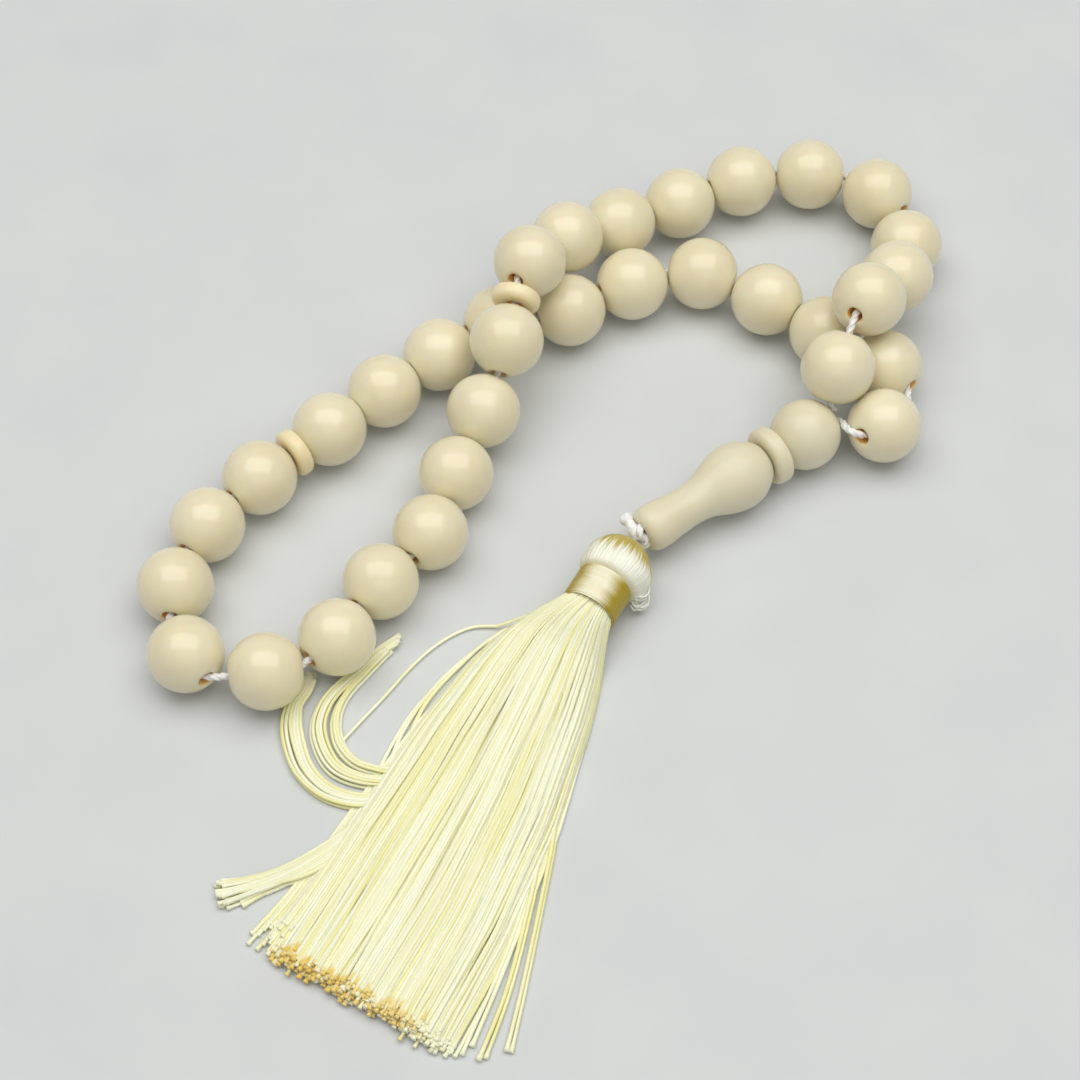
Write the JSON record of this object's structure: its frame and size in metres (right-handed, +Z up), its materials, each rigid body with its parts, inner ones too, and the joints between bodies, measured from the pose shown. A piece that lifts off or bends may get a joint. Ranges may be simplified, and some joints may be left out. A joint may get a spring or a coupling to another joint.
{
  "type": "prayer beads",
  "caption": "String of round beads in sections parted by thin marker discs, closed by a turned pillar bead and a long silk tassel, for counting prayers.",
  "frame": {"origin": "on the surface that the beads lie on, at the middle of the footprint", "axes": "+Z up, +Y away from the tassel's cut ends, +X to the right when the tassel points towards the viewer"},
  "size_m": [0.1073, 0.1372, 0.0187],
  "materials": {
    "bead_resin": "semi-gloss ivory resin",
    "imam_resin": "satin pale ivory resin",
    "string_cord": "braided white cord",
    "tassel_silk": "glossy cream silk thread",
    "gold_silk": "glossy cream thread with gold shade"
  },
  "bodies": {
    "string": {"string": "string_cord", "string_knot": "string_cord"},
    "bead_01": {"bead_01": "bead_resin"},
    "bead_02": {"bead_02": "bead_resin"},
    "bead_03": {"bead_03": "bead_resin"},
    "bead_04": {"bead_04": "bead_resin"},
    "bead_05": {"bead_05": "bead_resin"},
    "bead_06": {"bead_06": "bead_resin"},
    "bead_07": {"bead_07": "bead_resin"},
    "bead_08": {"bead_08": "bead_resin"},
    "bead_09": {"bead_09": "bead_resin"},
    "bead_10": {"bead_10": "bead_resin"},
    "bead_11": {"bead_11": "bead_resin"},
    "marker_disc_1": {"marker_disc_1": "bead_resin"},
    "bead_12": {"bead_12": "bead_resin"},
    "bead_13": {"bead_13": "bead_resin"},
    "bead_14": {"bead_14": "bead_resin"},
    "bead_15": {"bead_15": "bead_resin"},
    "bead_16": {"bead_16": "bead_resin"},
    "bead_17": {"bead_17": "bead_resin"},
    "bead_18": {"bead_18": "bead_resin"},
    "bead_19": {"bead_19": "bead_resin"},
    "bead_20": {"bead_20": "bead_resin"},
    "bead_21": {"bead_21": "bead_resin"},
    "bead_22": {"bead_22": "bead_resin"},
    "marker_disc_2": {"marker_disc_2": "bead_resin"},
    "bead_23": {"bead_23": "bead_resin"},
    "bead_24": {"bead_24": "bead_resin"},
    "bead_25": {"bead_25": "bead_resin"},
    "bead_26": {"bead_26": "bead_resin"},
    "bead_27": {"bead_27": "bead_resin"},
    "bead_28": {"bead_28": "bead_resin"},
    "bead_29": {"bead_29": "bead_resin"},
    "bead_30": {"bead_30": "bead_resin"},
    "bead_31": {"bead_31": "bead_resin"},
    "bead_32": {"bead_32": "bead_resin"},
    "bead_33": {"bead_33": "bead_resin"},
    "imam_body": {"imam_body": "imam_resin"},
    "imam_collar": {"imam_collar": "imam_resin"},
    "imam_head_bead": {"imam_head_bead": "imam_resin"},
    "tassel": {"tassel_head": "tassel_silk", "tassel_hanger": "string_cord", "tassel_binding": "gold_silk", "tassel_core": "tassel_silk", "tassel_skirt": "tassel_silk", "right_loose_threads": "tassel_silk", "left_loose_threads": "tassel_silk", "outer_curl_bundle": "tassel_silk", "inner_curl_bundle": "tassel_silk", "stray_thread": "tassel_silk", "head_tuft": "string_cord"}
  },
  "joints": [
    {"name": "bead_01_spin", "type": "hinge", "parent": "string", "child": "bead_01", "pos_m": [0.03737, 0.02512, 0.01044], "axis": [0.2985, 0.7502, 0.5899], "continuous": true},
    {"name": "bead_02_spin", "type": "hinge", "parent": "string", "child": "bead_02", "pos_m": [0.04175, 0.03391, 0.01388], "axis": [0.5054, 0.8162, -0.28], "continuous": true},
    {"name": "bead_03_slide", "type": "slide", "parent": "string", "child": "bead_03", "axis": [0.3602, 0.8217, -0.4417], "range_m": [-0.0005, 0]},
    {"name": "bead_04_spin", "type": "hinge", "parent": "string", "child": "bead_04", "pos_m": [0.049, 0.05044, 0.00491], "axis": [-0.0476, 0.9744, -0.2199], "continuous": true},
    {"name": "bead_05_spin", "type": "hinge", "parent": "string", "child": "bead_05", "pos_m": [0.04563, 0.05987, 0.0049], "axis": [-0.6875, 0.7261, 0.0083], "continuous": true},
    {"name": "bead_06_spin", "type": "hinge", "parent": "string", "child": "bead_06", "pos_m": [0.03632, 0.06347, 0.0049], "axis": [-0.9936, 0.1133, 0], "continuous": true},
    {"name": "bead_07_spin", "type": "hinge", "parent": "string", "child": "bead_07", "pos_m": [0.02651, 0.06215, 0.0049], "axis": [-0.9591, -0.283, 0], "continuous": true},
    {"name": "bead_08_spin", "type": "hinge", "parent": "string", "child": "bead_08", "pos_m": [0.0177, 0.0581, 0.00489], "axis": [-0.8913, -0.4504, 0.0516], "continuous": true},
    {"name": "bead_09_spin", "type": "hinge", "parent": "string", "child": "bead_09", "pos_m": [0.00919, 0.05362, 0.00595], "axis": [-0.8293, -0.5108, 0.2266], "continuous": true},
    {"name": "bead_10_spin", "type": "hinge", "parent": "string", "child": "bead_10", "pos_m": [0.00173, 0.04824, 0.00936], "axis": [-0.6509, -0.6557, 0.3826], "continuous": true},
    {"name": "bead_11_spin", "type": "hinge", "parent": "string", "child": "bead_11", "pos_m": [-0.00335, 0.04072, 0.01333], "axis": [-0.4177, -0.8856, 0.2032], "continuous": true},
    {"name": "marker_disc_1_spin", "type": "hinge", "parent": "string", "child": "marker_disc_1", "pos_m": [-0.0052, 0.0347, 0.01288], "axis": [-0.2348, -0.9521, -0.1958], "continuous": true},
    {"name": "bead_12_spin", "type": "hinge", "parent": "string", "child": "bead_12", "pos_m": [-0.00642, 0.02894, 0.01127], "axis": [-0.2349, -0.8999, -0.3673], "continuous": true},
    {"name": "bead_13_spin", "type": "hinge", "parent": "string", "child": "bead_13", "pos_m": [-0.00953, 0.02092, 0.00647], "axis": [-0.3454, -0.8784, -0.3304], "continuous": true},
    {"name": "bead_14_spin", "type": "hinge", "parent": "string", "child": "bead_14", "pos_m": [-0.01302, 0.01195, 0.0049], "axis": [-0.3358, -0.9385, -0.0802], "continuous": true},
    {"name": "bead_15_spin", "type": "hinge", "parent": "string", "child": "bead_15", "pos_m": [-0.01617, 0.0027, 0.0049], "axis": [-0.5066, -0.8622, 0], "continuous": true},
    {"name": "bead_16_spin", "type": "hinge", "parent": "string", "child": "bead_16", "pos_m": [-0.02234, -0.00479, 0.0049], "axis": [-0.594, -0.8045, 0], "continuous": true},
    {"name": "bead_17_spin", "type": "hinge", "parent": "string", "child": "bead_17", "pos_m": [-0.02756, -0.01306, 0.0049], "axis": [-0.719, -0.6951, 0], "continuous": true},
    {"name": "bead_18_spin", "type": "hinge", "parent": "string", "child": "bead_18", "pos_m": [-0.03623, -0.01804, 0.0049], "axis": [-0.9891, -0.1473, 0], "continuous": true},
    {"name": "bead_19_spin", "type": "hinge", "parent": "string", "child": "bead_19", "pos_m": [-0.04643, -0.01552, 0.0049], "axis": [-0.6166, 0.7873, 0], "continuous": true},
    {"name": "bead_20_slide", "type": "slide", "parent": "string", "child": "bead_20", "axis": [0.0652, 0.9979, 0], "range_m": [-0.0004, 0]},
    {"name": "bead_21_spin", "type": "hinge", "parent": "string", "child": "bead_21", "pos_m": [-0.04508, 0.00387, 0.0049], "axis": [0.5037, 0.8639, 0], "continuous": true},
    {"name": "bead_22_spin", "type": "hinge", "parent": "string", "child": "bead_22", "pos_m": [-0.03873, 0.01127, 0.0049], "axis": [0.7067, 0.7075, 0], "continuous": true},
    {"name": "marker_disc_2_spin", "type": "hinge", "parent": "string", "child": "marker_disc_2", "pos_m": [-0.03434, 0.01527, 0.0049], "axis": [0.7584, 0.6518, 0], "continuous": true},
    {"name": "bead_23_spin", "type": "hinge", "parent": "string", "child": "bead_23", "pos_m": [-0.02993, 0.01906, 0.0049], "axis": [0.7522, 0.6589, 0], "continuous": true},
    {"name": "bead_24_spin", "type": "hinge", "parent": "string", "child": "bead_24", "pos_m": [-0.02287, 0.02531, 0.0049], "axis": [0.7512, 0.6601, 0], "continuous": true},
    {"name": "bead_25_spin", "type": "hinge", "parent": "string", "child": "bead_25", "pos_m": [-0.01559, 0.03143, 0.0049], "axis": [0.7908, 0.6121, 0], "continuous": true},
    {"name": "bead_26_spin", "type": "hinge", "parent": "string", "child": "bead_26", "pos_m": [-0.00758, 0.03696, 0.0049], "axis": [0.9169, 0.3992, 0], "continuous": true},
    {"name": "bead_27_spin", "type": "hinge", "parent": "string", "child": "bead_27", "pos_m": [0.00205, 0.03902, 0.0049], "axis": [0.9387, 0.3447, 0], "continuous": true},
    {"name": "bead_28_spin", "type": "hinge", "parent": "string", "child": "bead_28", "pos_m": [0.0107, 0.04357, 0.0049], "axis": [0.9401, 0.3408, 0], "continuous": true},
    {"name": "bead_29_spin", "type": "hinge", "parent": "string", "child": "bead_29", "pos_m": [0.02045, 0.04543, 0.0049], "axis": [0.9826, -0.1855, 0], "continuous": true},
    {"name": "bead_30_spin", "type": "hinge", "parent": "string", "child": "bead_30", "pos_m": [0.02917, 0.0409, 0.0049], "axis": [0.85, -0.5267, 0], "continuous": true},
    {"name": "bead_31_spin", "type": "hinge", "parent": "string", "child": "bead_31", "pos_m": [0.03685, 0.03525, 0.0049], "axis": [0.8102, -0.5861, 0.0006], "continuous": true},
    {"name": "bead_32_spin", "type": "hinge", "parent": "string", "child": "bead_32", "pos_m": [0.04457, 0.02942, 0.0049], "axis": [0.6703, -0.742, -0.0113], "continuous": true},
    {"name": "bead_33_spin", "type": "hinge", "parent": "string", "child": "bead_33", "pos_m": [0.04365, 0.01946, 0.00512], "axis": [-0.7171, -0.6161, 0.326], "continuous": true},
    {"name": "imam_body_spin", "type": "hinge", "parent": "string", "child": "imam_body", "pos_m": [0.0112, 0.0026, 0.0047], "axis": [0.8131, 0.5821, 0], "continuous": true},
    {"name": "imam_collar_spin", "type": "hinge", "parent": "string", "child": "imam_collar", "pos_m": [0.0112, 0.0026, 0.0047], "axis": [0.8131, 0.5821, 0], "continuous": true},
    {"name": "imam_head_bead_spin", "type": "hinge", "parent": "string", "child": "imam_head_bead", "pos_m": [0.0112, 0.0026, 0.0047], "axis": [0.8131, 0.5821, 0], "continuous": true},
    {"name": "tassel_swing", "type": "hinge", "parent": "string", "child": "tassel", "pos_m": [0.01043, 0.00205, 0.0047], "axis": [0, 0, 1], "range_deg": [0, 25]}
  ]
}
